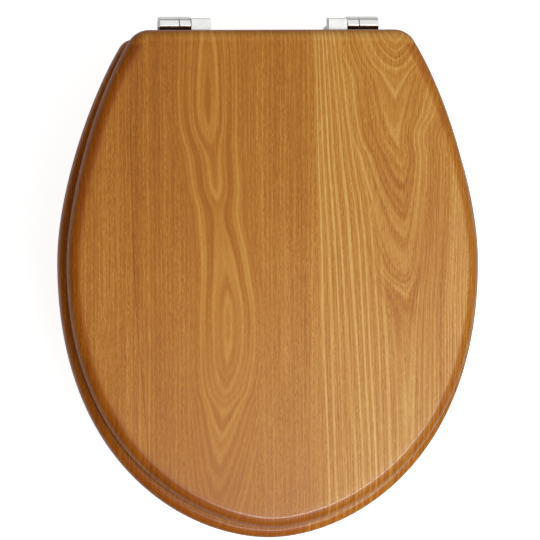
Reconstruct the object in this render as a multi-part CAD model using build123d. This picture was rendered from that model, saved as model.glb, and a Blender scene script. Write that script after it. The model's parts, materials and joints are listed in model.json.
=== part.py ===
from build123d import *

import os
from math import cos, sin

# All sizes are in mm. x runs across the seat, y to the rear, z up from the pan rim.
# The origin lies on the rim, midway between the two fixing studs.

# Plan outline of the seat ring: half width, length, and rear edge to widest line
RING_HALF_WIDTH = 186.0
RING_LENGTH = 435.4
RING_WIDEST = 194.9
RING_CORNER_R = 14.0
# The lid lies inside the ring by this much at the sides and at the nose
LID_SIDE_INSET = 4.5
LID_FRONT_INSET = 9.1
LID_CORNER_R = 21.0
# How much narrower each half is at the rear edge than at the widest line
RING_REAR_NARROWING = 60.1
LID_REAR_NARROWING = 62.0
# Pull of each outline curve at its two ends, as a share of its length, and the lean of the rear flank
RING_NOSE_PULL = (0.378, 0.741)
RING_FLANK_PULL = (0.354, 0.222)
LID_NOSE_PULL = (0.29, 0.78)
LID_FLANK_PULL = (0.224, 0.362)
FLANK_LEAN = 0.595
# Opening in the ring
OPENING_HALF_WIDTH = 116.0
OPENING_LENGTH = 285.0
OPENING_NOSE_SHARE = 0.54
FRONT_BAND = 75.0
OPENING_PULL = 0.57

# Heights and edges of the boards
SEAT_BUFFER_H = 11.0
RING_THICK = 18.0
LID_BUFFER_H = 5.0
LID_THICK = 17.0
RING_TOP_R = 7.0
RING_INNER_R = 9.0
LID_TOP_R = 10.0
UNDER_R = 3.0

# Hinge line: behind the studs, and above the underside of the ring
HINGE_BEHIND = 6.0
AXIS_RISE = 10.0
RING_SETBACK = 12.7
LID_SETBACK = 4.4
BARREL_R = 7.0
PIN_R = 4.0
RUN_CLEARANCE = 0.05
BUSH_WALL = 1.15
BUSH_FLANGE_R = 6.1
BUSH_FLANGE_T = 1.2
KNUCKLE_GAP = 0.5
KNUCKLE_EASE = 0.4
# Hinge stack, from the middle outwards
BLOCK_INNER_X = 52.1
BLOCK_WIDTH = 16.9
SEAT_KNUCKLE = 10.0
LID_KNUCKLE = 17.0
PIN_BLIND = 2.0
PIN_CHAMFER = 0.5
BLOCK_FRONT = 9.5
BLOCK_REAR = 5.8
BLOCK_UNDER = 2.0
BLOCK_EASE = 1.4
PILLAR_INSET = 3.0
PILLAR_FRONT = 9.0
PILLAR_DEPTH = 8.0

# Arms screwed under the boards
PLATE_T = 3.5
PLATE_LENGTH = 31.0
PLATE_START = 16.0
PLATE_CORNER_R = 7.0
SEAT_PLATE_W = 28.0
LID_PLATE_W = 32.0
SEAT_PLATE_SHIFT = 2.0
SEAT_NECK_LEAD = 2.0
LID_NECK_TURN = 0.8
SCREW_INSET = 7.5

# Foot, stud and the fastenings below the pan
FIXING_SPACING = 155.0
FOOT_T = 4.5
FOOT_DEPTH = 18.0
FOOT_REAR = 5.5
FOOT_BEYOND = 14.5
FOOT_CORNER_R = 6.0
GASKET_T = 1.5
STUD_R = 4.0
STUD_THREAD_R = 3.59
STUD_HEAD_R = 5.2
STUD_HEAD_H = 3.0
STUD_HOLE_R = 5.7
SHANK_BELOW = 13.0
STUD_BELOW = 62.0
STUD_CHAMFER = 1.0
PAN_T = 20.0
CONE_RISE = 6.0
CONE_TOP_R = 6.0
CONE_BASE_R = 9.5
CONE_RIM_R = 12.0
CONE_RIM_T = 4.0
CONE_SLACK = 0.1
WASHER_R = 11.0
WASHER_T = 1.6
WASHER_SLACK = 0.5
NUT_H = 11.0
NUT_R = 7.5
NUT_TAPER = 1.2
WING_START = 1.0
WING_SHOULDER = 13.0
WING_REACH = 17.5
WING_T = 3.2
WING_RISE = 5.0

# Wood screws and rubber buffers
SCREW_R = 1.75
SCREW_HEAD_R = 3.7
SCREW_HEAD_H = 2.1
SCREW_LENGTH = 15.0
SCREW_POINT = 3.5
RECESS_W = 0.9
BUFFER_R = 11.0
LID_BUFFER_R = 8.0
BUFFER_DRAFT = 1.2
BUFFER_EASE = 0.8
BUFFER_SKIN = 2.1
WELL_SLACK = 0.4
# Buffers: the front pairs from the middle and the ring's nose, the rear pair from its side and rear edge
SEAT_BUFFER_FRONT = (72.0, 46.0)
LID_BUFFER_FRONT = (92.0, 62.0)
SEAT_BUFFER_REAR = (44.0, 150.0)

# Levels and positions that follow from the sizes above
RING_Z = SEAT_BUFFER_H
RING_TOP = RING_Z + RING_THICK
LID_Z = RING_TOP + LID_BUFFER_H
HINGE_Y = HINGE_BEHIND
HINGE_Z = RING_Z + AXIS_RISE
RING_REAR = HINGE_Y - RING_SETBACK
RING_FRONT = RING_REAR - RING_LENGTH
WIDEST_Y = RING_REAR - RING_WIDEST
LID_HALF_WIDTH = RING_HALF_WIDTH - LID_SIDE_INSET
LID_FRONT = RING_FRONT + LID_FRONT_INSET
LID_REAR = HINGE_Y - LID_SETBACK
LID_RISE = LID_Z - HINGE_Z
STUD_X = FIXING_SPACING / 2
FOOT_Z = GASKET_T
SEAT_KNUCKLE_X = BLOCK_INNER_X + BLOCK_WIDTH + KNUCKLE_GAP
LID_KNUCKLE_X = SEAT_KNUCKLE_X + SEAT_KNUCKLE + KNUCKLE_GAP
STACK_END = LID_KNUCKLE_X + LID_KNUCKLE
PIN_START = BLOCK_INNER_X + PIN_BLIND
PIN_END = STACK_END - PIN_BLIND - KNUCKLE_GAP
BUSH_R = PIN_R + RUN_CLEARANCE + BUSH_WALL
STANDING = (Align.CENTER, Align.CENTER, Align.MIN)


def board_outline(half_width, y_front, y_rear, narrowing, nose_pull, flank_pull, corner_r):
    """Closed plan outline: a nose curve and a leaning flank on each side, and a straight rear edge."""
    widest = (half_width, WIDEST_Y)
    across = (nose_pull[0] * half_width, y_front)
    along = (half_width, WIDEST_Y + nose_pull[1] * (y_front - WIDEST_Y))
    nose = Bezier((0, y_front), across, along, widest)
    rear_half = half_width - narrowing
    flank_length = y_rear - WIDEST_Y
    pull = flank_pull[1] * flank_length
    upright = (half_width, WIDEST_Y + flank_pull[0] * flank_length)
    leaning = (rear_half + pull * sin(FLANK_LEAN), y_rear - pull * cos(FLANK_LEAN))
    flank = Bezier(widest, upright, leaning, (rear_half, y_rear))
    half = nose + flank
    rear_edge = Line((-rear_half, y_rear), (rear_half, y_rear))
    face = make_face(half + mirror(half, about=Plane.YZ) + rear_edge)
    return fillet(face.vertices().group_by(Axis.Y)[-1], corner_r)


def opening_outline():
    """Egg-shaped opening, blunter at the rear."""
    y_front = RING_FRONT + FRONT_BAND
    y_wide = y_front + OPENING_NOSE_SHARE * OPENING_LENGTH
    y_rear = y_front + OPENING_LENGTH
    half = Curve()
    for y_end in (y_front, y_rear):
        across = (OPENING_PULL * OPENING_HALF_WIDTH, y_end)
        along = (OPENING_HALF_WIDTH, y_wide + OPENING_PULL * (y_end - y_wide))
        half += Bezier((0, y_end), across, along, (OPENING_HALF_WIDTH, y_wide))
    return make_face(half + mirror(half, about=Plane.YZ))


def board(face, z, thick, top_r):
    """A flat board with a generous round along its top edge and a small one below."""
    solid = Pos(0, 0, z) * extrude(face, amount=thick)
    solid = fillet(solid.edges().group_by(Axis.Z)[-1], top_r)
    return fillet(solid.edges().group_by(Axis.Z)[0], UNDER_R)


def open_ring(solid):
    """Cuts the opening out of the ring and rounds its two edges."""
    ring = solid - Pos(0, 0, RING_Z) * extrude(opening_outline(), amount=RING_THICK)
    ring = fillet(ring.faces().sort_by(Axis.Z)[-1].inner_wires()[0].edges(), RING_INNER_R)
    return fillet(ring.faces().sort_by(Axis.Z)[0].inner_wires()[0].edges(), UNDER_R)


def hinge_slice(x, width, sketch):
    """A sketch drawn about the hinge line (rearwards, upwards), run outwards from x."""
    plane = Plane(origin=(x, HINGE_Y, HINGE_Z), x_dir=(0, 1, 0), z_dir=(1, 0, 0))
    return extrude(plane * sketch, amount=width)


def hinge_rod(x, end, radius):
    return hinge_slice(x, end - x, Circle(radius))


def turned(points, x=0.0, y=0.0, z=0.0):
    """A solid turned about a vertical line from (radius, height) points."""
    return Pos(x, y, z) * revolve(Plane.XZ * make_face(Polyline(*points, close=True)), Axis.Z)


def wood_screw(x, y, head_z, rise, countersunk=True):
    """A cross-recess screw driven upwards from head_z, its point rise above that."""
    seat_r = SCREW_R if countersunk else SCREW_HEAD_R
    head = [(0, 0), (SCREW_HEAD_R, 0), (seat_r, SCREW_HEAD_H)]
    if not countersunk:
        head.append((SCREW_R, SCREW_HEAD_H))
    screw = turned(head + [(SCREW_R, rise - SCREW_POINT), (0, rise)])
    for across in ((SCREW_HEAD_R, RECESS_W), (RECESS_W, SCREW_HEAD_R)):
        screw -= Box(*across, SCREW_HEAD_H)
    return Pos(x, y, head_z) * screw


def screw_hole(x, y, z, rise):
    """The hole that a screw's shank and point fill, from height z to the screw's tip."""
    return turned([(0, 0), (SCREW_R, 0), (SCREW_R, rise - SCREW_POINT), (0, rise)], x, y, z)


def countersink(x, y, z):
    cone = [(0, 0), (SCREW_HEAD_R, 0), (SCREW_R, SCREW_HEAD_H), (SCREW_R, PLATE_T), (0, PLATE_T)]
    return turned(cone, x, y, z)


def bush(x, length):
    """Flanged sleeve, its flange standing half the knuckle gap proud of the knuckle's inner face."""
    proud = x - KNUCKLE_GAP / 2
    sleeve = hinge_rod(proud, x + length, BUSH_R) + hinge_rod(proud, x + BUSH_FLANGE_T, BUSH_FLANGE_R)
    return sleeve - hinge_rod(proud, x + length, PIN_R + RUN_CLEARANCE)


def arm(x, width, neck, plate_x, plate_width, plate_z, bush_length):
    """Barrel, neck and screw plate of one hinge leaf, bored for its bush."""
    barrel = hinge_rod(x, x + width, BARREL_R)
    barrel = chamfer(barrel.edges().filter_by(GeomType.CIRCLE), KNUCKLE_EASE)
    inner_x = x + KNUCKLE_EASE
    leaf = barrel + hinge_slice(inner_x, width - 2 * KNUCKLE_EASE, make_face(Polyline(*neck, close=True)))
    middle = HINGE_Y - PLATE_START - PLATE_LENGTH / 2
    plate = extrude(RectangleRounded(plate_width, PLATE_LENGTH, PLATE_CORNER_R), amount=PLATE_T)
    leaf += Pos(plate_x, middle, plate_z) * plate
    leaf -= hinge_rod(x, x + bush_length, BUSH_R)
    leaf -= hinge_rod(x, x + BUSH_FLANGE_T, BUSH_FLANGE_R)
    for at in plate_screws(plate_x, plate_width):
        leaf -= countersink(*at, plate_z)
    return leaf


def plate_screws(plate_x, plate_width):
    """Two screws towards the hinge and one in front."""
    spread = plate_width / 2 - SCREW_INSET
    near = HINGE_Y - PLATE_START - SCREW_INSET
    far = HINGE_Y - PLATE_START - PLATE_LENGTH + SCREW_INSET
    return [(plate_x - spread, near), (plate_x + spread, near), (plate_x, far)]


def buffer(x, y, z, height, radius):
    """Rubber buffer, wider at the board, with a well for its screw's head."""
    well_r = SCREW_HEAD_R + WELL_SLACK
    well = height - BUFFER_SKIN
    pad = Cone(radius - BUFFER_DRAFT, radius, height, align=STANDING)
    pad = fillet(pad.edges().group_by(Axis.Z)[0], BUFFER_EASE)
    pad -= Cylinder(well_r, well, align=STANDING)
    pad -= Cylinder(SCREW_R, height, align=STANDING)
    return Pos(x, y, z) * pad


def hinge_post():
    """Foot, pillar and the flat-topped block that holds the pin."""
    foot_x = (BLOCK_INNER_X + STUD_X + FOOT_BEYOND) / 2
    foot_w = STUD_X + FOOT_BEYOND - BLOCK_INNER_X
    foot_y = FOOT_REAR - FOOT_DEPTH / 2
    foot_face = Pos(foot_x, foot_y) * RectangleRounded(foot_w, FOOT_DEPTH, FOOT_CORNER_R)
    foot = Pos(0, 0, FOOT_Z) * extrude(foot_face, amount=FOOT_T)
    foot = fillet(foot.edges().group_by(Axis.Z)[-1], BLOCK_EASE)
    under = [(-BLOCK_FRONT, -BLOCK_UNDER), (BLOCK_REAR, -BLOCK_UNDER)]
    over = [(BLOCK_REAR, BARREL_R), (-BLOCK_FRONT, BARREL_R)]
    block_face = make_face(Polyline(*under, *over, close=True))
    block = hinge_slice(BLOCK_INNER_X, BLOCK_WIDTH, block_face)
    block = fillet(block.edges().filter_by(Axis.X), BLOCK_EASE)
    block = fillet(block.edges().group_by(Axis.X)[0], BLOCK_EASE / 2)
    pillar_w = BLOCK_WIDTH - PILLAR_INSET - 2 * KNUCKLE_GAP
    pillar_face = RectangleRounded(pillar_w, PILLAR_DEPTH, BLOCK_EASE)
    pillar_x = BLOCK_INNER_X + PILLAR_INSET + pillar_w / 2
    pillar_y = HINGE_Y - PILLAR_FRONT + PILLAR_DEPTH / 2
    pillar = Pos(pillar_x, pillar_y, FOOT_Z) * extrude(pillar_face, amount=HINGE_Z - FOOT_Z)
    post = foot + pillar + block
    post -= hinge_rod(PIN_START, BLOCK_INNER_X + BLOCK_WIDTH, PIN_R)
    post -= Pos(STUD_X, 0, FOOT_Z) * Cylinder(STUD_HEAD_R, STUD_HEAD_H, align=STANDING)
    gasket = extrude(foot_face, amount=GASKET_T)
    gasket -= Pos(STUD_X, 0, 0) * Cylinder(STUD_HOLE_R, 2 * GASKET_T)
    return post, gasket


def wing_nut(x, z):
    """Moulded wing nut: a tapered boss with two rounded wings rising towards its lower end."""
    boss = Pos(0, 0, -NUT_H) * Cone(NUT_R, NUT_R + NUT_TAPER, NUT_H, align=STANDING)
    upper = [(0, -WING_START), (WING_SHOULDER, -NUT_H / 2), (WING_REACH, -NUT_H)]
    lower = [(WING_REACH, -NUT_H - WING_RISE), (NUT_R, -NUT_H), (0, -NUT_H)]
    outline = make_face(Polyline(*upper, *lower, close=True))
    tips = outline.vertices().group_by(Axis.X)[-1]
    wing = extrude(Plane.XZ * fillet(tips, WING_RISE / 3), amount=WING_T / 2, both=True)
    nut = boss + wing + Rot(0, 0, 180) * wing
    nut -= Cylinder(STUD_THREAD_R, 4 * NUT_H)
    return Pos(x, 0, z) * nut


both = {}

post, gasket = hinge_post()
both["hinge_post"] = post
both["pan_gasket"] = gasket
pin = hinge_rod(PIN_START, PIN_END, PIN_R)
both["hinge_pin"] = chamfer(pin.edges().group_by(Axis.X)[-1], PIN_CHAMFER)

# Hinge leaves: the seat's drops in front of the barrel, the lid's rises in front of it
plate_end = -(PLATE_START + PLATE_CORNER_R)
seat_under = -AXIS_RISE - PLATE_T
seat_neck = [(0, 0), (-BARREL_R, 0), (-BARREL_R - SEAT_NECK_LEAD, -AXIS_RISE), (plate_end, -AXIS_RISE),
             (plate_end, seat_under), (-BARREL_R / 2, seat_under), (0, -BARREL_R)]
lid_under = LID_RISE - PLATE_T
neck_root = (-BARREL_R * cos(LID_NECK_TURN), BARREL_R * sin(LID_NECK_TURN))
lid_neck = [(0, 0), neck_root, (-LID_SETBACK - UNDER_R, LID_RISE), (plate_end, LID_RISE),
            (plate_end, lid_under), (-PLATE_START, lid_under), (-BARREL_R, 0)]
seat_plate_x = SEAT_KNUCKLE_X + SEAT_KNUCKLE / 2 + SEAT_PLATE_SHIFT
seat_plate_z = RING_Z - PLATE_T
lid_plate_x = LID_KNUCKLE_X + LID_KNUCKLE / 2
lid_plate_z = LID_Z - PLATE_T
lid_bush_length = LID_KNUCKLE - PIN_BLIND
both["seat_arm"] = arm(SEAT_KNUCKLE_X, SEAT_KNUCKLE, seat_neck, seat_plate_x, SEAT_PLATE_W,
                       seat_plate_z, SEAT_KNUCKLE)
both["lid_arm"] = arm(LID_KNUCKLE_X, LID_KNUCKLE, lid_neck, lid_plate_x, LID_PLATE_W,
                      lid_plate_z, lid_bush_length)
both["seat_bush"] = bush(SEAT_KNUCKLE_X, SEAT_KNUCKLE)
both["lid_bush"] = bush(LID_KNUCKLE_X, lid_bush_length)

# Stud and what clamps it under the pan
head_top = FOOT_Z + STUD_HEAD_H
stud_head = [(0, head_top), (STUD_HEAD_R, head_top), (STUD_HEAD_R, FOOT_Z), (STUD_R, FOOT_Z)]
stud_thread = [(STUD_THREAD_R, -SHANK_BELOW), (STUD_THREAD_R, -STUD_BELOW), (0, -STUD_BELOW)]
stud = turned(stud_head + [(STUD_R, -SHANK_BELOW)] + stud_thread, STUD_X)
both["fixing_stud"] = chamfer(stud.edges().group_by(Axis.Z)[0], STUD_CHAMFER)
cone_bore = STUD_THREAD_R + CONE_SLACK
cone = [(cone_bore, CONE_RISE), (CONE_TOP_R, CONE_RISE), (CONE_BASE_R, 0)]
cone_rim = [(CONE_RIM_R, 0), (CONE_RIM_R, -CONE_RIM_T), (cone_bore, -CONE_RIM_T)]
both["cone_washer"] = turned(cone + cone_rim, STUD_X, 0, -PAN_T)
washer_z = -PAN_T - CONE_RIM_T - WASHER_T
washer_bore = STUD_R + WASHER_SLACK
washer = [(washer_bore, 0), (WASHER_R, 0), (WASHER_R, WASHER_T), (washer_bore, WASHER_T)]
both["flat_washer"] = turned(washer, STUD_X, 0, washer_z)
both["wing_nut"] = wing_nut(STUD_X, washer_z)

# Boards, each drilled for the screws that hold its arms and buffers
ring_face = board_outline(RING_HALF_WIDTH, RING_FRONT, RING_REAR, RING_REAR_NARROWING,
                          RING_NOSE_PULL, RING_FLANK_PULL, RING_CORNER_R)
ring = open_ring(board(ring_face, RING_Z, RING_THICK, RING_TOP_R))
lid_face = board_outline(LID_HALF_WIDTH, LID_FRONT, LID_REAR, LID_REAR_NARROWING,
                         LID_NOSE_PULL, LID_FLANK_PULL, LID_CORNER_R)
lid = board(lid_face, LID_Z, LID_THICK, LID_TOP_R)

front_x, front_y = SEAT_BUFFER_FRONT
rear_in, rear_y = SEAT_BUFFER_REAR
lid_x, lid_y = LID_BUFFER_FRONT
buffers = {
    "front_seat_buffer": (front_x, RING_FRONT + front_y, 0, SEAT_BUFFER_H, BUFFER_R),
    "rear_seat_buffer": (RING_HALF_WIDTH - rear_in, RING_REAR - rear_y, 0, SEAT_BUFFER_H, BUFFER_R),
    "lid_buffer": (lid_x, RING_FRONT + lid_y, RING_TOP, LID_BUFFER_H, LID_BUFFER_R),
}
group_names = ("seat_arm_screws", "lid_arm_screws", "seat_buffer_screws", "lid_buffer_screws")
groups = {name: [] for name in group_names}
for name, (x, y, z, height, radius) in buffers.items():
    both[name] = buffer(x, y, z, height, radius)
    head_z = z + height - BUFFER_SKIN - SCREW_HEAD_H
    group = "lid_buffer_screws" if name == "lid_buffer" else "seat_buffer_screws"
    groups[group].append((x, y, head_z, False))
for at in plate_screws(seat_plate_x, SEAT_PLATE_W):
    groups["seat_arm_screws"].append((*at, seat_plate_z, True))
for at in plate_screws(lid_plate_x, LID_PLATE_W):
    groups["lid_arm_screws"].append((*at, lid_plate_z, True))

nodes = {}
for name, right in both.items():
    nodes["right_" + name] = right
    nodes["left_" + name] = mirror(right, about=Plane.YZ)
for name, places in groups.items():
    screws = []
    for x, y, head_z, countersunk in places:
        for side_x in (x, -x):
            screws.append(wood_screw(side_x, y, head_z, SCREW_LENGTH, countersunk))
            hole = screw_hole(side_x, y, head_z, SCREW_LENGTH)
            if name.startswith("seat"):
                ring -= hole
            else:
                lid -= hole
    nodes[name] = Compound(screws)
nodes["seat_ring"] = ring
nodes["lid"] = lid

os.makedirs("parts", exist_ok=True)
for name, shape in nodes.items():
    export_step(shape, os.path.join("parts", name + ".step"))
print(len(nodes), "nodes written")
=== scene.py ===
# %% [markdown]
# # A wooden toilet seat, closed, seen from above
# The seat is two veneered boards, a ring and a lid, lifted by two chromed hinges. The engineering model
# gives every piece its size and its place, so the scene starts from it and never moves it. The boards are
# made again here as smooth surfaces, because a lacquered round edge shows every flat facet. The metal,
# rubber and nylon pieces keep their engineered shapes and get smooth shading and finishes.

# %% Load the frame
import json
import math

import bmesh
import bpy
import numpy as np
from mathutils import Matrix, Vector

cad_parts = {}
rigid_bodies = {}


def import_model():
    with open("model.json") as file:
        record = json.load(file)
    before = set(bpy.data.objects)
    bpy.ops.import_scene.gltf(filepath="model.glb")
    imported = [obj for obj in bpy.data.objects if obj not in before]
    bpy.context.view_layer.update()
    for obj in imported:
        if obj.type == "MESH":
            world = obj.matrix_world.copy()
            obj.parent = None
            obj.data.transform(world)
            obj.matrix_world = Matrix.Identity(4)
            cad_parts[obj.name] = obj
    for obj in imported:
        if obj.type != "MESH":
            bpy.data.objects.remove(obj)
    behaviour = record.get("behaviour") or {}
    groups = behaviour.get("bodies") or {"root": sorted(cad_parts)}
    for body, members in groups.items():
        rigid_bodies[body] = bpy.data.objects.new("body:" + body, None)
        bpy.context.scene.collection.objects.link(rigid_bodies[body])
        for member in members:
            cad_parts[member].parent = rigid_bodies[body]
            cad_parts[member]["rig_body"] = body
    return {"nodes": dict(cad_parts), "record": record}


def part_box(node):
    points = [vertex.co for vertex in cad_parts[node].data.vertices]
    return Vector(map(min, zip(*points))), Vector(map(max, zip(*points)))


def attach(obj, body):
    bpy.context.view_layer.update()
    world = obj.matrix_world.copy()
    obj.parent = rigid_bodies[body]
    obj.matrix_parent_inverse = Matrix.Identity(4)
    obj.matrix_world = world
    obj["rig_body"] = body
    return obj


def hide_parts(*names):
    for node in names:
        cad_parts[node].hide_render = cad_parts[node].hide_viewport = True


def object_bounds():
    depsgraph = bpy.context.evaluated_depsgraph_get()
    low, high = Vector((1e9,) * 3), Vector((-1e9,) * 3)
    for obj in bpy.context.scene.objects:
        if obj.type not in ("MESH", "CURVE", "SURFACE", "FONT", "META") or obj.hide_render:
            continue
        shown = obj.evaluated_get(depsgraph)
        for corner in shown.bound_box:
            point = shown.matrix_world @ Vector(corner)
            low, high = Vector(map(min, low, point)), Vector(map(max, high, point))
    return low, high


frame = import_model()
cad_box = [list(corner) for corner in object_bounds()]

# %% [markdown]
# ## Camera
# The view is nearly straight down. The camera stands a little to the left and very slightly behind, and so
# far away that the boards don't converge. An orthographic camera would give almost the same flat, catalogue
# look. A long lens ten metres off is chosen because it keeps the slight perspective of a real one.

# %% Place the camera
LOOK_AT = Vector((0.0004, -0.2083, 0.025))
LEFT_TILT, FRONT_TILT, ROLL = math.radians(10.0), math.radians(-1.2), math.radians(-0.165)
DISTANCE, PIXELS_PER_METRE, PICTURE_PIXELS, SENSOR_MM = 10.0, 1144.8, 540, 36.0


def put_in_scene(name, data):
    """A new object of that data in the scene, at the origin."""
    thing = bpy.data.objects.new(name, data)
    bpy.context.scene.collection.objects.link(thing)
    return thing


towards = Vector((-math.tan(LEFT_TILT), -math.tan(FRONT_TILT), 1.0)).normalized()
level = Vector((0, 1, 0)).cross(towards).normalized()
upright = towards.cross(level)
right = math.cos(ROLL) * level + math.sin(ROLL) * upright
up = math.cos(ROLL) * upright - math.sin(ROLL) * level

lens = bpy.data.cameras.new("studio_lens")
lens.sensor_width = SENSOR_MM
lens.lens = PIXELS_PER_METRE * DISTANCE * SENSOR_MM / PICTURE_PIXELS
camera = put_in_scene("studio_camera", lens)
turned = Matrix((right, up, towards)).transposed().to_4x4()
camera.matrix_world = Matrix.Translation(LOOK_AT + DISTANCE * towards) @ turned
bpy.context.scene.camera = camera
print("lens", round(lens.lens, 1), "mm")

# %% [markdown]
# ## Board outlines
# Each board is drawn from one half: a curve round the nose, a second curve along the flank, a rounded
# corner and a straight rear edge. The corner's centre lies where the flank, moved inwards by the corner's
# radius, meets the rear edge moved inwards by as much. A curve object could be shaped by hand instead, but
# arrays can take width, nose and rear edge from the engineered boards, in metres, and so they fit.

# %% Outline curves
def bezier(points, count):
    """Cubic curve: each end weighs (1-t)^3 and t^3, and the two pulls 3t(1-t)^2 and 3t^2(1-t)."""
    t = np.linspace(0, 1, count)[:, None]
    p0, p1, p2, p3 = np.array(points, float)
    return (1 - t) ** 3 * p0 + 3 * t * (1 - t) ** 2 * p1 + 3 * t ** 2 * (1 - t) * p2 + t ** 3 * p3


def left_normal(curve):
    """The direction a quarter turn to the left of the way the curve runs."""
    run = np.gradient(curve, axis=0)
    run /= np.linalg.norm(run, axis=1)[:, None]
    return np.stack([-run[:, 1], run[:, 0]], axis=1)


def even(curve, count):
    """The closed curve again, at points an equal length apart."""
    closed = np.vstack([curve, curve[:1]])
    length = np.concatenate([[0], np.cumsum(np.linalg.norm(np.diff(closed, axis=0), axis=1))])
    want = np.linspace(0, length[-1], count, endpoint=False)
    return np.stack([np.interp(want, length, closed[:, k]) for k in (0, 1)], axis=1)


print("helpers", bezier.__name__, left_normal.__name__, even.__name__)

# %% Outlines of the two boards
WIDEST_Y, FLANK_LEAN = -0.2016, 0.595
CURVE_POINTS, CORNER_POINTS, POINTS_AROUND = 4000, 400, 900


def board_outline(node, narrowing, nose, flank, corner_r):
    """Half outline from the nose to the middle of the rear edge, then its mirror image."""
    y_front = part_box(node)[0].y
    half_width, y_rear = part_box(node)[1].xy
    widest = (half_width, WIDEST_Y)
    nose_along = (half_width, WIDEST_Y + nose[1] * (y_front - WIDEST_Y))
    nose_curve = bezier([(0, y_front), (nose[0] * half_width, y_front), nose_along, widest], CURVE_POINTS)
    rear_half, flank_length = half_width - narrowing, y_rear - WIDEST_Y
    pull = flank[1] * flank_length
    leaning = (rear_half + pull * math.sin(FLANK_LEAN), y_rear - pull * math.cos(FLANK_LEAN))
    flank_up = (half_width, WIDEST_Y + flank[0] * flank_length)
    flank_curve = bezier([widest, flank_up, leaning, (rear_half, y_rear)], CURVE_POINTS)
    inner = flank_curve + corner_r * left_normal(flank_curve)
    k = int(np.argmin(np.abs(inner[:, 1] - (y_rear - corner_r))))
    start = math.atan2(*(flank_curve[k] - inner[k])[::-1])
    turn = np.linspace(start, math.pi / 2, CORNER_POINTS)[:, None]
    corner = inner[k] + corner_r * np.hstack([np.cos(turn), np.sin(turn)])
    half = np.vstack([nose_curve, flank_curve[1:k], corner])
    return even(np.vstack([half, half[::-1] * (-1, 1)])[:-1], POINTS_AROUND)


lid_line = board_outline("lid", narrowing=0.0620, nose=(0.29, 0.78), flank=(0.224, 0.362), corner_r=0.021)
ring_line = board_outline("seat_ring", narrowing=0.0601, nose=(0.378, 0.741), flank=(0.354, 0.222),
                          corner_r=0.014)
print("lid", np.ptp(lid_line, axis=0).round(4), "ring", np.ptp(ring_line, axis=0).round(4))

# %% [markdown]
# ## Carrying an edge profile round a board
# A router rounds the edge of the real board, so the surface here is the same thing: a small profile, given
# as how far in from the outline and how high, carried once round the outline. Rows of points make a grid,
# and the grid becomes a mesh in one step. A Bevel modifier on a flat slab would round the edge as well, but
# on a grid each point can also keep how near the rim it lies, and that is where stain gathers.

# %% Profile helpers
UNDER_STEPS, TOP_STEPS = 8, 24


def closed_inward(line):
    """The inward direction at each point of a closed outline that runs anticlockwise."""
    return left_normal(np.vstack([line[-1:], line, line[:1]]))[1:-1]


def quarter_round(radius, count):
    """Quarter of a circle from the wall to the flat: inset 1 - cos of the turn, rise sin of the turn."""
    turn = np.linspace(0, math.pi / 2, count)
    return radius * np.stack([1 - np.cos(turn), np.sin(turn)], axis=1)


def edge_profile(low, high, under_r, top_r, reach):
    """Inset, height and rim from the underside over both rounds to the top; rim is 1 - inset / reach."""
    under, over = quarter_round(under_r, UNDER_STEPS)[::-1], quarter_round(top_r, TOP_STEPS)
    line = np.vstack([[(reach, low)],
                      np.stack([under[:, 0], low + under_r - under[:, 1]], axis=1),
                      np.stack([over[:, 0], high - top_r + over[:, 1]], axis=1),
                      [(reach, high)]])
    return np.column_stack([line, 1 - line[:, 0] / reach])


def edge_rows(line, inward, profile):
    """Rows of points and rim values: the outline moved in by each inset, at each height."""
    flat = line[None] + profile[:, :1, None] * inward[None]
    shape = flat.shape[:2]
    height, rim = (np.broadcast_to(profile[:, k, None], shape) for k in (1, 2))
    return np.dstack([flat, height, rim])


print("profile steps", UNDER_STEPS, "below and", TOP_STEPS, "above")

# %% Grid helpers
def grid_mesh(name, rows, cap):
    """Mesh of closed rows, each joined to the next; cap fills the first and last, else they join up."""
    count, around = rows.shape[:2]
    index = np.arange(count * around).reshape(count, around)
    top = index[1:] if cap else np.roll(index, -1, axis=0)
    low = index[:-1] if cap else index
    corners = [low, np.roll(low, -1, axis=1), np.roll(top, -1, axis=1), top]
    faces = np.stack(corners, axis=-1).reshape(-1, 4).tolist()
    if cap:
        faces += [index[0][::-1].tolist(), index[-1].tolist()]
    mesh = bpy.data.meshes.new(name)
    mesh.from_pydata(rows[..., :3].reshape(-1, 3).tolist(), [], faces)
    mesh.polygons.foreach_set("use_smooth", np.ones(len(faces), bool))
    mesh.attributes.new("rim", "FLOAT", "POINT").data.foreach_set("value", rows[..., 3].ravel())
    mesh.update()
    return put_in_scene(name, mesh)


slots = {part["node"]: part["material_slot"] for part in frame["record"]["subparts"]}


def stand_for(piece, node):
    """The piece takes the place of an engineered node: it rides on the same body, and the node is hidden."""
    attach(piece, frame["nodes"][node]["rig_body"])
    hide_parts(node)


print("material slots", sorted(set(slots.values())))

# %% [markdown]
# ## The lid
# A flat board with a round of ten millimetres along the top and a small one below. The rows run from the
# underside out to the edge, up the wall and over the round, and one flat face closes the top and another
# the underside. A fill of many small faces would do that too, but a single face with hundreds of corners is
# safe where a surface is truly flat, and it shades evenly.

# %% Lid board
LID_TOP_R, UNDER_R, LID_STAIN_REACH = 0.010, 0.003, 0.0165
LID_LOW, LID_HIGH = (corner.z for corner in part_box("lid"))
lid_profile = edge_profile(LID_LOW, LID_HIGH, UNDER_R, LID_TOP_R, LID_STAIN_REACH)
lid_board = grid_mesh("lid_board", edge_rows(lid_line, closed_inward(lid_line), lid_profile), cap=True)
stand_for(lid_board, "lid")
print("lid board", len(lid_board.data.polygons), "faces")

# %% [markdown]
# ## The seat ring
# The ring has routed edges of the same kind on its outside and round its opening. A Boolean could cut the
# opening out of a full board, but its edge would then need a round and rim values of its own. So each point
# of the outline is paired with the point of the opening that lies in the same direction from the middle,
# and one closed section that holds both edges joins the two.

# %% Opening of the ring
OPENING_POINTS = 3000
RING_MIDDLE, FRONT_BAND = (0, -0.22), 0.075


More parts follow.
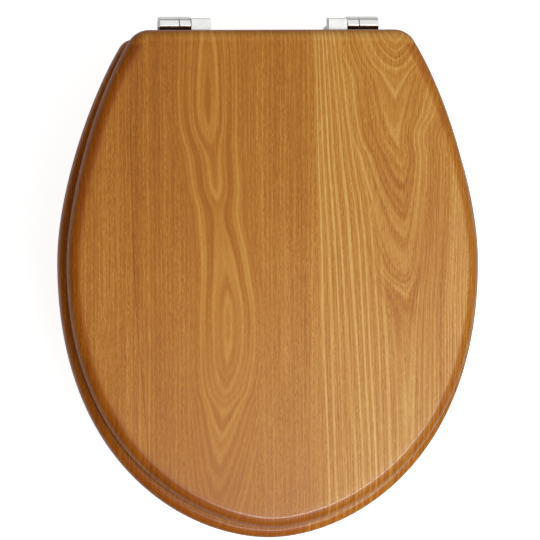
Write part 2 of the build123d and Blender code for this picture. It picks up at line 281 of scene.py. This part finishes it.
def opening_outline(half_width, length, nose_share, y_front, pull):
    """Egg shape of four cubic curves, longer towards the nose than towards the rear."""
    y_wide, y_rear = y_front + nose_share * length, y_front + length
    nose_along, rear_along = y_wide + pull * (y_front - y_wide), y_wide + pull * (y_rear - y_wide)
    widest, inwards = (half_width, y_wide), pull * half_width
    nose = bezier([(0, y_front), (inwards, y_front), (half_width, nose_along), widest], OPENING_POINTS)
    rear = bezier([widest, (half_width, rear_along), (inwards, y_rear), (0, y_rear)], OPENING_POINTS)
    half = np.vstack([nose, rear[1:]])
    return np.vstack([half, half[-2:0:-1] * (-1, 1)])


def facing(curve, centre, like):
    """The point of curve in the same direction from centre as each point of like."""
    turn, like_turn = (np.arctan2(p[:, 1] - centre[1], p[:, 0] - centre[0]) for p in (curve, like))
    order = np.argsort(turn)
    found = [np.interp(like_turn, turn[order], curve[order, k], period=2 * math.pi) for k in (0, 1)]
    return np.stack(found, axis=1)


egg = opening_outline(half_width=0.116, length=0.285, nose_share=0.54,
                      y_front=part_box("seat_ring")[0].y + FRONT_BAND, pull=0.57)
inner_line = facing(egg, RING_MIDDLE, ring_line)
print("opening", np.ptp(inner_line, axis=0).round(4))

# %% Ring board
RING_TOP_R, RING_INNER_R, RING_STAIN_REACH = 0.007, 0.009, 0.0135
RING_LOW, RING_HIGH = (corner.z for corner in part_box("seat_ring"))
outer_profile, inner_profile = (edge_profile(RING_LOW, RING_HIGH, UNDER_R, top_r, RING_STAIN_REACH)
                                for top_r in (RING_TOP_R, RING_INNER_R))
outer_rows = edge_rows(ring_line, closed_inward(ring_line), outer_profile)
inner_rows = edge_rows(inner_line, -closed_inward(inner_line), inner_profile)
seat_board = grid_mesh("seat_board", np.concatenate([outer_rows, inner_rows[::-1]]), cap=False)
stand_for(seat_board, "seat_ring")
print("seat board", len(seat_board.data.polygons), "faces")

# %% [markdown]
# ## Castings and small parts
# The hinge castings, studs, nuts, washers, buffers and screws already have their true shapes, but they
# arrive as loose triangles, which shade as flat facets. Each gets a copy whose points are merged, so that
# round faces shade smoothly, while every edge sharper than the limit stays crisp. Normals are then weighted
# by face area, so that a flat beside a small round still mirrors like a flat.

# %% Smooth copies of the engineered pieces
MERGE_DISTANCE, CRISP_ANGLE, LARGE_FACE_WEIGHT = 1e-6, math.radians(32), 100


def smooth_copy(node):
    """A merged copy of a node's mesh, smooth except along edges that turn more than the crisp angle."""
    merged = bmesh.new()
    merged.from_mesh(frame["nodes"][node].data)
    bmesh.ops.remove_doubles(merged, verts=merged.verts, dist=MERGE_DISTANCE)
    mesh = bpy.data.meshes.new(node + "_smooth")
    merged.to_mesh(mesh)
    merged.free()
    mesh.polygons.foreach_set("use_smooth", np.ones(len(mesh.polygons), bool))
    mesh.set_sharp_from_angle(angle=CRISP_ANGLE)
    piece = put_in_scene(node + "_smooth", mesh)
    flats = piece.modifiers.new("flat_faces_stay_flat", "WEIGHTED_NORMAL")
    flats.mode, flats.weight, flats.keep_sharp = "FACE_AREA", LARGE_FACE_WEIGHT, True
    stand_for(piece, node)
    return piece


hardware = {node: smooth_copy(node) for node in sorted(frame["nodes"]) if node not in ("lid", "seat_ring")}
print(len(hardware), "smooth pieces")

# %% [markdown]
# ## Arithmetic on a surface
# A procedural finish is arithmetic on the place of each point. Writing it as nodes one by one hides the
# formula, so this small class lets the usual signs stand for Math nodes, and the formulas below read as
# formulas.

# %% Fields
class Field:
    """A number that varies over a surface; arithmetic on it adds Math nodes to its material."""

    def __init__(self, tree, socket):
        self.tree, self.socket = tree, socket

    def math(self, operation, *others):
        """The result of one Math node on this field and the others."""
        node = self.tree.nodes.new("ShaderNodeMath")
        node.operation = operation
        for plug, value in zip(node.inputs, (self, *others)):
            feed(self.tree, plug, value)
        return Field(self.tree, node.outputs[0])

    def __add__(self, other):
        return self.math("ADD", other)

    def __sub__(self, other):
        return self.math("SUBTRACT", other)

    def __mul__(self, other):
        return self.math("MULTIPLY", other)

    def __truediv__(self, other):
        return self.math("DIVIDE", other)

    def root(self):
        """The square root."""
        return self.math("SQRT")

    def unsigned(self):
        """The value without its sign."""
        return self.math("ABSOLUTE")

    def or_else(self, other):
        """The greater of the two."""
        return self.math("MAXIMUM", other)

    def zigzag(self):
        """Straight up from 0 to 1 and down again, once to each unit."""
        return self.math("PINGPONG", 0.5) * 2.0

    def ramp(self, low, high):
        """0 below low, 1 above high and a smooth step between; turned round where low is the greater."""
        node = self.tree.nodes.new("ShaderNodeMapRange")
        node.interpolation_type = "SMOOTHSTEP"
        for plug, value in zip(node.inputs, (self, low, high, 0.0, 1.0)):
            feed(self.tree, plug, value)
        return Field(self.tree, node.outputs[0])


print("fields know", [word for word in vars(Field) if not word.startswith("_")])

# %% Feeding a node
def feed(tree, plug, value):
    """Links a field to a node's input, or sets a plain number there."""
    if isinstance(value, Field):
        tree.links.new(value.socket, plug)
    else:
        plug.default_value = value


print("helper", feed.__name__)

# %% [markdown]
# ## Clouds, curves and colours
# Wood and metal are never even, so most finishes start from cloudy noise, stretched along the grain or the
# same in every direction. A curve through a few chosen stops says how a value changes along the board, and
# a colour ramp turns the final number into colour. Everything reads the piece's own coordinates, so it
# stays on the piece.

# %% Clouds
def noise(across, along, detail=1.0):
    """Cloudy values about 0, from -1/2 to 1/2, one cloud to each unit across and along."""
    tree = across.tree
    joined = tree.nodes.new("ShaderNodeCombineXYZ")
    feed(tree, joined.inputs[0], across)
    feed(tree, joined.inputs[1], along)
    mist = tree.nodes.new("ShaderNodeTexNoise")
    mist.noise_dimensions = "2D"
    mist.inputs["Scale"].default_value = 1.0
    mist.inputs["Detail"].default_value = detail
    tree.links.new(joined.outputs[0], mist.inputs["Vector"])
    return Field(tree, mist.outputs[0]) - 0.5


def cloud(tree, size, detail=2.0):
    """Cloudy values about 0 in space, from -1/2 to 1/2, one cloud to each size in metres."""
    where = tree.nodes.new("ShaderNodeTexCoord")
    mist = tree.nodes.new("ShaderNodeTexNoise")
    mist.inputs["Scale"].default_value = 1 / size
    mist.inputs["Detail"].default_value = detail
    tree.links.new(where.outputs["Object"], mist.inputs["Vector"])
    return Field(tree, mist.outputs[0]) - 0.5


print("helpers", noise.__name__, cloud.__name__)

# %% Curves
def through(field, stops):
    """A smooth curve through stops, each a place and the value there."""
    places, values = np.array(stops, float).T
    low, span = values.min(), np.ptp(values)
    node = field.tree.nodes.new("ShaderNodeFloatCurve")
    line = node.mapping.curves[0]
    spots = np.stack([(places - places[0]) / np.ptp(places), (values - low) / span], axis=1)
    for point, spot in zip(line.points, (spots[0], spots[-1])):
        point.location = spot
    for spot in spots[1:-1]:
        line.points.new(*spot)
    node.mapping.update()
    feed(field.tree, node.inputs["Value"], (field - float(places[0])) / float(np.ptp(places)))
    return Field(field.tree, node.outputs[0]) * float(span) + float(low)


print("helper", through.__name__)

# %% Finishes
MILLIMETRES = 1000.0


def new_finish(name):
    """An empty material with its tree, its shader, and the place of each point in millimetres."""
    finish = bpy.data.materials.new(name)
    finish.use_nodes = True
    tree = finish.node_tree
    where = tree.nodes.new("ShaderNodeTexCoord")
    split = tree.nodes.new("ShaderNodeSeparateXYZ")
    tree.links.new(where.outputs["Object"], split.inputs[0])
    place = [Field(tree, axis) * MILLIMETRES for axis in split.outputs]
    return finish, tree, tree.nodes["Principled BSDF"], place


print("fields of place count", MILLIMETRES, "to the metre")

# %% Colours and raised grain
def srgb(*rgb):
    """The linear colour of an 8-bit screen colour: the screen's curve undone, straight near black."""
    c = np.array(rgb) / 255
    return tuple(np.where(c <= 0.04045, c / 12.92, ((c + 0.055) / 1.055) ** 2.4)) + (1.0,)


def shade(tone, stops):
    """The colour for each value of tone, blended between stops of value and colour."""
    ramp = tone.tree.nodes.new("ShaderNodeValToRGB")
    steps = ramp.color_ramp.elements
    while len(steps) < len(stops):
        steps.new(0.5)
    for step, (place, colour) in zip(steps, stops):
        step.position, step.color = place, colour
    feed(tone.tree, ramp.inputs[0], tone)
    return ramp.outputs[0]


def grain_bump(shader, height, strength, depth):
    """Raises the surface by height, for shading only."""
    raised = height.tree.nodes.new("ShaderNodeBump")
    raised.inputs["Strength"].default_value = strength
    raised.inputs["Distance"].default_value = depth
    feed(height.tree, raised.inputs["Height"], height)
    height.tree.links.new(raised.outputs[0], shader.inputs["Normal"])


print("middle grey is", round(srgb(128, 128, 128)[0], 3), "in linear light")

# %% [markdown]
# ## Floor and room
# A white floor lies low enough for the lid to swing right over, and can't be seen from beneath, so that it
# never hides the underside. The room is white to the camera. Its mirror image darkens towards the horizon
# and the left, as in a studio with a dark screen, because polished metal looks like metal only when it
# mirrors some dark.

# %% Rays and sides
def ray_kinds(tree):
    """Two fields: 1 for rays from the camera, and 1 for rays off a mirror or through something clear."""
    ray = tree.nodes.new("ShaderNodeLightPath")
    camera_ray, mirrored, clear = (Field(tree, ray.outputs["Is %s Ray" % kind])
                                   for kind in ("Camera", "Glossy", "Transmission"))
    return camera_ray, mirrored.or_else(clear)


def hide_from_beneath(tree, shader):
    """Keeps the shader on the front of a surface and makes its back clear."""
    side = tree.nodes.new("ShaderNodeNewGeometry")
    unseen = tree.nodes.new("ShaderNodeBsdfTransparent")
    one_sided = tree.nodes.new("ShaderNodeMixShader")
    tree.links.new(side.outputs["Backfacing"], one_sided.inputs[0])
    tree.links.new(shader.outputs[0], one_sided.inputs[1])
    tree.links.new(unseen.outputs[0], one_sided.inputs[2])
    tree.links.new(one_sided.outputs[0], tree.nodes["Material Output"].inputs["Surface"])


print("helpers", ray_kinds.__name__, hide_from_beneath.__name__)

# %% Floor
FLOOR_DROP, FLOOR_REACH, FLOOR_GLOW, MIRRORED_FLOOR = 0.04, 4.0, 0.83, 0.3
PAPER_GREY, PAPER_ROUGHNESS, WHITE = (0.60, 0.60, 0.60, 1), 0.9, (1, 1, 1, 1)

floor_z = cad_box[0][2] - FLOOR_DROP
spread = FLOOR_REACH * np.array([(-1, -1), (1, -1), (1, 1), (-1, 1)])
floor_mesh = bpy.data.meshes.new("studio_floor")
floor_mesh.from_pydata(np.insert(spread, 2, floor_z, axis=1).tolist(), [], [(0, 1, 2, 3)])
floor = put_in_scene("studio_floor", floor_mesh)

paper, paper_tree, paper_shader, _ = new_finish("white_paper")
paper_shader.inputs["Base Color"].default_value = PAPER_GREY
paper_shader.inputs["Roughness"].default_value = PAPER_ROUGHNESS
paper_shader.inputs["Emission Color"].default_value = WHITE
from_camera, from_mirror = ray_kinds(paper_tree)
glow = (from_camera * FLOOR_GLOW).or_else(from_mirror * MIRRORED_FLOOR)
feed(paper_tree, paper_shader.inputs["Emission Strength"], glow)
hide_from_beneath(paper_tree, paper_shader)
floor_mesh.materials.append(paper)
print("floor at", round(floor_z, 4))

# %% Room
ROOM_LIGHT, MIRRORED_HORIZON, MIRRORED_LEFT = 0.25, 0.25, 0.2
HORIZON_TO_OVERHEAD, LEFT_TO_MIDDLE = (0.0, 0.6), (-0.6, -0.05)

world = bpy.data.worlds.new("white_room")
bpy.context.scene.world = world
world.use_nodes = True
room = world.node_tree
backdrop = room.nodes["Background"]
backdrop.inputs["Color"].default_value = WHITE
from_camera, from_mirror = ray_kinds(room)
direction = room.nodes.new("ShaderNodeTexCoord")
parts = room.nodes.new("ShaderNodeSeparateXYZ")
room.links.new(direction.outputs["Generated"], parts.inputs[0])
rightward, upward = (Field(room, parts.outputs[axis]) for axis in "XZ")
overhead = upward.ramp(*HORIZON_TO_OVERHEAD) * (1 - MIRRORED_HORIZON) + MIRRORED_HORIZON
leftward = rightward.ramp(*LEFT_TO_MIDDLE) * (1 - MIRRORED_LEFT) + MIRRORED_LEFT
plain_light = (from_mirror * -1.0 + 1.0) * ROOM_LIGHT
seen = from_camera.or_else(from_mirror * overhead * leftward).or_else(plain_light)
feed(room, backdrop.inputs["Strength"], seen)
print("room light", ROOM_LIGHT)

# %% [markdown]
# ## Lamps
# One large softbox stands in front and to the right with a bright strip before it, and a wide one behind,
# which the hinges don't mirror. The flat lid mirrors the front softbox as a haze, while its round edge
# turns away from it, which is why the edge looks deeper in colour. The strip draws the thin highlight along
# the front round.

# %% Lamps
AIM = Vector((0, -0.22, 0.04))


def soft_lamp(name, place, size, watts):
    """A rectangular area lamp at place, turned towards the middle of the seat."""
    light = bpy.data.lights.new(name, "AREA")
    light.shape, light.energy = "RECTANGLE", watts
    light.size, light.size_y = size
    lamp = put_in_scene(name, light)
    facing_aim = (AIM - Vector(place)).to_track_quat("-Z", "Y").to_matrix().to_4x4()
    lamp.matrix_world = Matrix.Translation(place) @ facing_aim
    return lamp


key = soft_lamp("front_softbox", place=(0.60, -1.10, 1.95), size=(1.7, 1.7), watts=18.5)
glint = soft_lamp("bright_strip", place=(0.45, -0.80, 1.94), size=(0.8, 0.2), watts=13)
fill = soft_lamp("rear_softbox", place=(0.20, 1.60, 1.45), size=(4.2, 2.8), watts=13)
fill.visible_glossy = False
bpy.context.scene.view_settings.view_transform = "Standard"
print(key.name, glint.name, fill.name)

# %% [markdown]
# ## Veneer
# The figure of a flat-sawn board is where the saw met the tree's yearly rings. A ring is a cone about the
# pith, so a point's ring is its distance from the pith: sideways from the pith line, and as deep as the
# pith lies there. Where the pith comes nearer and goes away again, the rings close into ovals, and where it
# only sinks, they make the pointed arches of a cathedral. A Wave texture draws rings too, but about a
# straight axis. A formula lets the pith wander as it does in a tree. Two sheets lie side by side, each with
# its own pith line and depth.

# %% Veneer figure
ARCH_POINT = 9.0


def rings_of(x, y, pith_line, pith_depth, left_scale, right_scale):
    """Root of sideways distance squared, plus a share of it that points the arches, plus depth squared."""
    aside = x - through(y, pith_line)
    off = aside.or_else(0.0) * right_scale - aside.math("MINIMUM", 0.0) * left_scale
    depth = through(y, pith_depth)
    return (off * off + off * ARCH_POINT + depth * depth).root()


def streaks(across, along, wide, long, weight, detail=1.0):
    """Soft streaks, about so wide and so long in millimetres, from -1/2 to 1/2 of the weight."""
    return noise(across / wide, along / long, detail) * weight


GAP_DRIFT, GAP_DRIFT_YEARS, GAP_DRIFT_LONG = 1.6, 3, 300.0
MEAN_STRENGTH, STRENGTH_DRIFT, STRENGTH_YEARS, STRENGTH_LONG = 0.75, 1.5, 2.0, 250.0


def year_lines(pith, y, gap, low, high, weight):
    """Light lines, about one to each gap, uneven in gap and strength; low and high set how thin."""
    year = pith / gap + streaks(pith, y, GAP_DRIFT_YEARS * gap, GAP_DRIFT_LONG, GAP_DRIFT)
    strength = streaks(year, y, STRENGTH_YEARS, STRENGTH_LONG, STRENGTH_DRIFT) + MEAN_STRENGTH
    return year.zigzag().ramp(low, high) * strength * weight


print("arches are pointed by", ARCH_POINT, "mm")

# %% [markdown]
# ## Left sheet
# The left sheet is quiet: one band of soft ovals and arches follows the pith line, with straight fine lines
# on either side and one hair-fine dark split near the edge. Each curve below is a list of stops along the
# board, a place in y and the value there, all in millimetres but for the tones.

# %% Left sheet
LEFT_LINE = [(-450, -52), (-414, -51.3), (-347, -46.8), (-306, -43.3), (-260, -41.5), (-214, -43.3),
             (-161, -49.5), (-110, -53.9), (-68, -58.4), (-24, -58.4), (5, -59)]
LEFT_DEPTH = [(-450, 42), (-426, 39), (-329, 26.5), (-306, 20), (-257, 15.5), (-214, 18.5), (-180, 21),
              (-161, 22), (-135, 19), (-110, 18.5), (-68, 13), (-24, 14), (5, 16)]
LEFT_FADE = [(-450, -0.13), (-400, -0.10), (-330, -0.055), (-240, -0.055), (-180, -0.08), (-100, -0.12),
             (5, -0.13)]
CRACK_LINE = [(-450, -104), (-344, -114), (-208, -124), (-100, -126.7), (5, -127)]
LEFT_SPREAD, FIGURE_BAND, BROAD_BAND = 0.9, (42.0, 18.0), (36.0, 29.0)
FIGURE_TONE, TONE_PER_MM = -0.02, 0.0007
CRACK_EDGE, CRACK_DARK, CRACK_STEP, OUTSIDE_LIGHT = (0.9, 0.2), -0.16, (0.3, -0.3), 0.06


def left_sheet(x, y):
    """Figure near the pith line, plain lines elsewhere, and the split; also how near a point lies."""
    near = (x - through(y, LEFT_LINE)).unsigned().ramp(*FIGURE_BAND)
    pith = rings_of(x, y, LEFT_LINE, LEFT_DEPTH, LEFT_SPREAD, LEFT_SPREAD)
    broad = year_lines(pith, y, gap=6.5, low=0.0, high=1.0, weight=0.20) * pith.ramp(*BROAD_BAND)
    narrow = year_lines(pith, y, gap=2.6, low=0.1, high=1.0, weight=0.14)
    figure = broad + narrow + streaks(pith, y, wide=5.0, long=400.0, weight=0.16) + FIGURE_TONE
    plain = (year_lines(x, y, gap=3.9, low=0.3, high=1.0, weight=0.12)
             + streaks(x, y, wide=9.0, long=500.0, weight=0.26))
    crack = x - through(y, CRACK_LINE)
    split = crack.unsigned().ramp(*CRACK_EDGE) * CRACK_DARK + crack.ramp(*CRACK_STEP) * OUTSIDE_LIGHT
    return plain + split + (figure - plain) * near + x * TONE_PER_MM + through(y, LEFT_FADE), near


print("left sheet", len(LEFT_DEPTH), "depths")

# %% [markdown]
# ## Right sheet
# The right sheet is lively. Light lines fan out from the joint towards the nose, and beyond them pointed
# arches climb to the rear, with one pale heart near the nose where the saw ran along a single ring.

# %% Right sheet
RIGHT_LINE = [(-450, 118), (-260, 117), (-208, 115.5), (-151, 114.5), (-112, 113), (-76, 107), (-30, 108),
              (5, 108)]
RIGHT_DEPTH = [(-450, 61), (-300, 59.5), (-234, 56.8), (-208, 51.5), (-186, 48.5), (-151, 44), (-112, 38.5),
               (-76, 35), (-43, 31), (-27, 23.5), (-11, 15), (5, 7)]
OUTER_SCALE = [(-450, 1.8), (-112, 1.8), (-70, 1.2), (5, 0.9)]
INNER_SCALE = 0.85
FAN_SPREAD = [(-450, 2.1), (-208, 1.95), (-100, 1.45), (5, 1.0)]
FAN_EDGE = [(-450, 34), (-300, 33), (-200, 27), (-100, 24), (5, 22)]
ARCH_STRENGTH = [(-450, 1.0), (-250, 1.0), (-180, 0.8), (5, 0.75)]
HEART_SIDE, HEART_REAR, HEART_NOSE, HEART_LIGHT = (9.0, 3.0), (-240.0, -265.0), (-370.0, -320.0), 0.16
FAN_BLEND, FAN_TONE, RIGHT_TONE = (5.0, -5.0), 0.02, -0.03


def right_sheet(x, y, from_joint):
    """Arches by rings about the pith line, and up to the fan's edge lines by distance from the joint."""
    pith = rings_of(x, y, RIGHT_LINE, RIGHT_DEPTH, INNER_SCALE, through(y, OUTER_SCALE))
    arches = (year_lines(pith, y, gap=4.2, low=0.40, high=0.98, weight=0.26)
              + year_lines(pith, y, gap=1.8, low=0.2, high=1.0, weight=0.18)
              + streaks(pith, y, wide=9.0, long=300.0, weight=0.50)) * through(y, ARCH_STRENGTH)
    aside = (x - through(y, RIGHT_LINE)).unsigned()
    heart = aside.ramp(*HEART_SIDE) * y.ramp(*HEART_REAR) * y.ramp(*HEART_NOSE)
    fan = from_joint / through(y, FAN_SPREAD)
    rays = (year_lines(fan, y, gap=3.4, low=0.45, high=0.98, weight=0.44)
            + year_lines(fan, y, gap=1.3, low=0.2, high=1.0, weight=0.16) + FAN_TONE)
    in_fan = (fan - through(y, FAN_EDGE)).ramp(*FAN_BLEND)
    return arches + heart * HEART_LIGHT + (rays - arches) * in_fan + RIGHT_TONE


print("right sheet", len(RIGHT_DEPTH), "depths")

# %% [markdown]
# ## Fibres and pores
# Under the figure, every sheet of ash or oak shows short fibres and dark pores along the grain. They are
# noise stretched along the board, and each fibre starts at its own place, because noise on a plain grid
# makes rows. They are calmer within the ovals, where the saw ran along the rings.

# %% Both sheets together
JOINT_X, JOINT_LEAN, JOINT_BLEND = 33.6, 0.0241, (-0.3, 0.3)
PORE_WIDE, PORE_LONG, PORE_SHARE, PORE_DARK = 0.8, 7.0, (0.14, 0.28), -0.18
OVAL_CALM = 0.45


def veneer_tone(x, y):
    """Two sheets with a straight joint, and the fibres and pores that run along both."""
    swayed = (x + streaks(x, y, wide=60.0, long=170.0, weight=2.0)
              + streaks(x, y, wide=9.0, long=60.0, weight=0.7))
    from_joint = x + y * JOINT_LEAN - JOINT_X
    left, in_oval = left_sheet(swayed, y)
    right = right_sheet(swayed, y, from_joint)
    along = y + streaks(x, y, wide=1.7, long=400.0, weight=60.0)
    fibres = (streaks(x, along, wide=1.2, long=3.0, weight=0.80, detail=2.0)
              + streaks(x, y, wide=1.0, long=60.0, weight=0.25))
    pores = noise(x / PORE_WIDE, along / PORE_LONG).ramp(*PORE_SHARE) * PORE_DARK
    sheets = left + (right - left) * from_joint.ramp(*JOINT_BLEND)
    return sheets + (fibres + pores) * (in_oval * -OVAL_CALM + 1.0)


print("joint at", JOINT_X, "mm right of the middle")

# %% [markdown]
# ## Lacquered veneer
# Stain colours the veneer and gathers on the round edges, and satin lacquer seals it. A scanned board would
# give grain and stain in one image, but it would need a seam somewhere, while a formula of place runs from
# the flat over the round without one. The tone picks a colour from brown to straw, the rim value deepens
# it, and the same tone, much weakened, raises the grain. The rear round is lightened with less stain and a
# lighter tone as painted light, the left margin is deepened as painted shade, and the lacquer is duller low
# on the wall.

# %% Veneer finishes
GRAIN = [(0.0, srgb(128, 68, 6)), (0.38, srgb(175, 105, 20)), (0.6, srgb(197, 136, 50)),
         (1.0, srgb(222, 179, 102))]
MIDDLE_TONE = 0.5
# The rear round and its rim band get painted light: less stain and a lighter tone.
STAINED_RIM, REAR_ROUND, REAR_LIGHT_RIM, REAR_LIGHT_LIFT = (0.30, 0.55), (-15.0, -10.0), (0.98, 0.80), 0.10
# The left margin gets painted shade: a deeper tone towards the left flank.
MARGIN_RIM, LEFT_FLANK, LEFT_SHADE_DEPTH = (0.0, 0.5), (-30.0, -120.0), 0.05
LACQUER_ROUGHNESS, WALL_RIM, WALL_ROUGHER = 0.17, (0.86, 0.98), 0.20


def lacquered(name, node, stain, shift, specular):
    """Grain colour times stain at the rim, with painted light on the rear round and painted shade on the left
    margin, under satin lacquer with a faint grain.
    """
    finish, tree, shader, (x, y, _) = new_finish(name)
    rim_value = tree.nodes.new("ShaderNodeAttribute")
    rim_value.attribute_name = "rim"
    rim = Field(tree, rim_value.outputs["Fac"])
    stained = rim.ramp(*STAINED_RIM)
    from_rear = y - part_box(node)[1].y * MILLIMETRES
    # Painted light on the rear round: less stain there and a lighter tone.
    pale = from_rear.ramp(*REAR_ROUND) * rim.ramp(*REAR_LIGHT_RIM) * stained
    # Painted shade on the left margin.
    left_painted_shade = rim.ramp(*MARGIN_RIM) * x.ramp(*LEFT_FLANK)
    tone = veneer_tone(x + shift[0], y + shift[1]) + pale * REAR_LIGHT_LIFT - left_painted_shade * LEFT_SHADE_DEPTH
    deepen = tree.nodes.new("ShaderNodeMix")
    deepen.data_type, deepen.blend_type = "RGBA", "MULTIPLY"
    feed(tree, deepen.inputs["Factor"], stained - pale)
    tree.links.new(shade(tone + MIDDLE_TONE, GRAIN), deepen.inputs["A"])
    deepen.inputs["B"].default_value = stain
    tree.links.new(deepen.outputs["Result"], shader.inputs["Base Color"])
    grain_bump(shader, tone, strength=0.06, depth=0.0002)
    feed(tree, shader.inputs["Roughness"], rim.ramp(*WALL_RIM) * WALL_ROUGHER + LACQUER_ROUGHNESS)
    shader.inputs["Specular IOR Level"].default_value = specular
    return finish


lid_veneer = lacquered("lid_veneer", "lid", stain=(0.80, 0.60, 0.24, 1), shift=(0.0, 0.0), specular=0.25)
ring_veneer = lacquered("ring_veneer", "seat_ring", stain=(0.84, 0.62, 0.26, 1), shift=(14.0, 9.0),
                        specular=0.15)
lid_board.data.materials.append(lid_veneer)
seat_board.data.materials.append(ring_veneer)
print("veneer on", lid_board.name, seat_board.name)

# %% [markdown]
# ## Metal, nylon and rubber
# The hinges are zinc castings under polished chrome, the studs, pins and screws are bright zinc-plated
# steel, the bushes and wing nuts are moulded nylon, the pan gaskets black rubber and the buffers pale
# rubber. None is one even colour: plating clouds and gathers smudges, and a moulding keeps the fine grain
# of its mould. Each finish is the same recipe, clouds of tone that move colour and roughness together and a
# fine grain that stirs the surface. The necks of the hinge arms lie in the shaded gap behind the boards,
# and they get painted shade there: a dark colour, made duller too.

# %% Clouded finishes
CLOUD_DETAIL, CLOUD_CONTRAST, GRAIN_STRENGTH = 3.0, 1.6, 0.3
# The dark colour and extra dullness of the arm necks are painted shade for the gap behind the boards.
NECK_SHADE_COLOUR, NECK_ROUGHER = (0.12, 0.09, 0.065, 1), 0.3
ARM_NECK, NECK_FRONT_BLEND, NECK_REAR_BLEND = (-9.0, 4.2), 1.0, 0.5


# Where the painted shade goes: the necks of the arms, in the gap behind the boards.
def neck_shade_mask(y):
    """1 between the two ends of an arm's neck and 0 beyond them."""
    front, rear = ARM_NECK
    behind_plate = y.ramp(front - NECK_FRONT_BLEND, front + NECK_FRONT_BLEND)
    return behind_plate * y.ramp(rear + NECK_REAR_BLEND, rear - NECK_REAR_BLEND)


def clouded(name, dark, light, cloud_size, rough, grain_size, grain_depth, metal, paint_neck_shade=False):
    """Colour between dark and light by clouds, roughness by the same clouds, and a fine raised grain; painted
    shade on arm necks.
    """
    finish, tree, shader, (_, y, _) = new_finish(name)
    tone = cloud(tree, cloud_size, CLOUD_DETAIL) * CLOUD_CONTRAST + 0.5
    roughness = tone * (rough[1] - rough[0]) + rough[0]
    stops = [(0.0, dark), (1.0, light)]
    if paint_neck_shade:
        # Plated tones fill the upper half of the scale, and the painted shade of the necks the lower half.
        neck = neck_shade_mask(y)
        tone, roughness = tone * 0.5 + 0.5 - neck * 0.5, roughness + neck * NECK_ROUGHER
        stops = [(0.0, NECK_SHADE_COLOUR), (0.45, NECK_SHADE_COLOUR), (0.55, dark), (1.0, light)]
    tree.links.new(shade(tone, stops), shader.inputs["Base Color"])
    feed(tree, shader.inputs["Roughness"], roughness)
    shader.inputs["Metallic"].default_value = metal
    grain_bump(shader, cloud(tree, grain_size), GRAIN_STRENGTH, grain_depth)
    return finish


# The span in y of the painted shade on the arm necks.
print("necks as cast from y", *ARM_NECK, "mm")

# %% Hardware finishes
CHROME = dict(dark=(0.75, 0.75, 0.73, 1), light=(0.84, 0.84, 0.82, 1), cloud_size=0.012, rough=(0.12, 0.20),
              grain_size=0.004, grain_depth=0.000005, metal=1.0)
ZINC = dict(dark=(0.50, 0.50, 0.51, 1), light=(0.68, 0.67, 0.63, 1), cloud_size=0.005, rough=(0.28, 0.44),
            grain_size=0.0008, grain_depth=0.00004, metal=1.0)
NYLON = dict(dark=(0.66, 0.64, 0.56, 1), light=(0.80, 0.79, 0.73, 1), cloud_size=0.009, rough=(0.42, 0.55),
             grain_size=0.0007, grain_depth=0.00006, metal=0.0)
BLACK_RUBBER = dict(dark=(0.012, 0.012, 0.012, 1), light=(0.035, 0.034, 0.033, 1), cloud_size=0.006,
                    rough=(0.55, 0.75), grain_size=0.0006, grain_depth=0.0001, metal=0.0)
PALE_RUBBER = dict(dark=(0.50, 0.48, 0.41, 1), light=(0.66, 0.65, 0.59, 1), cloud_size=0.007,
                   rough=(0.34, 0.48), grain_size=0.0009, grain_depth=0.00006, metal=0.0)

# Chrome for the arms, with painted shade on their necks.
chrome_arm_neck_shaded = clouded("chrome_arm_neck_shaded", **CHROME, paint_neck_shade=True)
finishes = {"chrome": clouded("polished_chrome", **CHROME),
            "zinc_steel": clouded("bright_zinc", **ZINC),
            "nylon": clouded("moulded_nylon", **NYLON),
            "black_rubber": clouded("black_rubber", **BLACK_RUBBER),
            "clear_rubber": clouded("pale_rubber", **PALE_RUBBER)}
for node, piece in hardware.items():
    piece.data.materials.append(chrome_arm_neck_shaded if node.endswith("_arm") else finishes[slots[node]])
print("finishes", sorted(finishes))

# %% [markdown]
